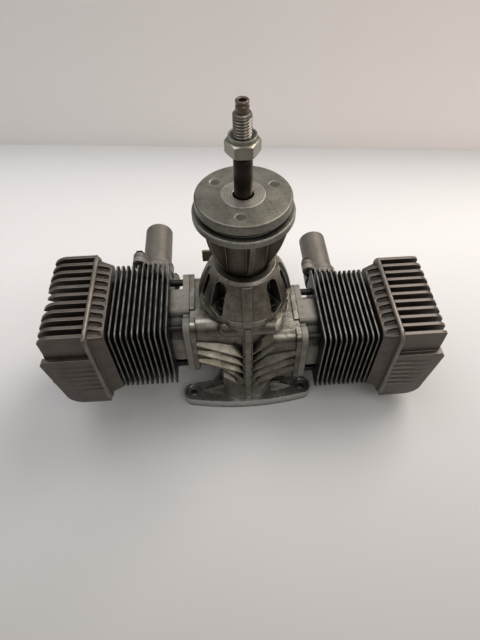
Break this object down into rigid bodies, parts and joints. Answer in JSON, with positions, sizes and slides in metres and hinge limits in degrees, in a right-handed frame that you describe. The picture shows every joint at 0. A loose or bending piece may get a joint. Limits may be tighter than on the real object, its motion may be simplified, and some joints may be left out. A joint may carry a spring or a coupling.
{
  "type": "flat aircraft engine",
  "caption": "Horizontally opposed two-stroke model aircraft engine with finned cylinders, bell-shaped nose, flanged propeller driver, rear mounting plate and diaphragm carburettor.",
  "frame": {"origin": "crank axis in the rear mounting face", "axes": "+Z along the crank to the propeller, +X along the rearward (right) cylinder, +Y to the exhaust and carburettor side"},
  "size_m": [0.2208, 0.111, 0.1884],
  "materials": {
    "bearing_steel": "polished",
    "black_steel": "black oxide",
    "brass_fitting": "turned",
    "bright_steel": "ground",
    "cage_steel": "pressed",
    "carb_alloy": "die-cast",
    "case_alloy": "die-cast, blasted and handled",
    "cover_steel": "pressed",
    "driver_alloy": "turned, dark anodised",
    "fin_black": "black coat, worn fin edges",
    "forged_steel": "forged and turned",
    "gasket_metal": "soft sheet",
    "gasket_paper": "fibre sheet",
    "head_paint": "satin graphite",
    "nylon": "moulded",
    "phenolic": "pressed",
    "piston_alloy": "turned",
    "ring_iron": "lapped",
    "seal_rubber": "moulded",
    "shaft_steel": "ground and oiled",
    "spring_steel": "spring",
    "stub_alloy": "cast, heat stained",
    "yellow_zinc": "yellow passivated",
    "zinc_steel": "bright zinc"
  },
  "bodies": {
    "engine": {"crankcase_left": "case_alloy", "crankcase_right": "case_alloy", "nose_housing": "case_alloy", "nose_gasket": "gasket_paper", "intake_gaskets": "gasket_paper", "base_gaskets": "gasket_paper", "exhaust_gaskets": "gasket_paper", "head_gaskets": "gasket_metal", "crankcase_screws": "black_steel", "nose_screws": "black_steel", "exhaust_bolts": "black_steel", "carburettor_bolts": "zinc_steel", "nose_oil_seal": "seal_rubber", "crank_front_web": "forged_steel", "crank_middle_web": "forged_steel", "crank_rear_web": "forged_steel", "crankpins": "bright_steel", "main_bearing_outers": "bearing_steel", "rear_bearing_inner": "bearing_steel", "main_bearing_cages": "cage_steel", "main_bearing_balls": "bearing_steel", "nose_bearing_outer": "bearing_steel", "nose_bearing_cage": "cage_steel", "nose_bearing_balls": "bearing_steel", "cylinder_left": "fin_black", "cylinder_right": "fin_black", "conrod_left": "forged_steel", "conrod_right": "forged_steel", "piston_left": "piston_alloy", "piston_right": "piston_alloy", "exhaust_stub_left": "stub_alloy", "exhaust_stub_right": "stub_alloy", "head_left": "head_paint", "head_right": "head_paint", "cylinder_studs": "black_steel", "head_nuts": "bright_steel", "piston_rings": "ring_iron", "wrist_pins": "bright_steel", "wrist_pin_circlips": "spring_steel", "big_end_needles": "bearing_steel", "intake_insulator": "phenolic", "carburettor_body": "carb_alloy", "pump_cover": "carb_alloy", "metering_cover": "cover_steel", "fuel_nipple": "brass_fitting", "needle_screws": "zinc_steel"},
    "rotor": {"prop_shaft": "shaft_steel", "prop_shaft_key": "bright_steel", "front_bearing_inner": "bearing_steel", "nose_bearing_inner": "bearing_steel", "prop_driver": "driver_alloy", "thrust_ring": "bright_steel", "prop_nut": "zinc_steel", "prop_nut_insert": "nylon"},
    "throttle": {"throttle_spindle": "bright_steel", "throttle_flap": "brass_fitting", "throttle_lever": "yellow_zinc"},
    "choke": {"choke_spindle": "bright_steel", "choke_flap": "brass_fitting", "choke_lever": "zinc_steel"}
  },
  "joints": [
    {"name": "crank_spin", "type": "hinge", "parent": "engine", "child": "rotor", "pos_m": [0, 0, 0], "axis": [0, 0, 1], "continuous": true},
    {"name": "throttle_turn", "type": "hinge", "parent": "engine", "child": "throttle", "pos_m": [0, 0.038, 0.0515], "axis": [1, 0, 0], "range_deg": [-75, 0]},
    {"name": "choke_turn", "type": "hinge", "parent": "engine", "child": "choke", "pos_m": [0, 0.0522, 0.0515], "axis": [1, 0, 0], "range_deg": [0, 90]}
  ]
}
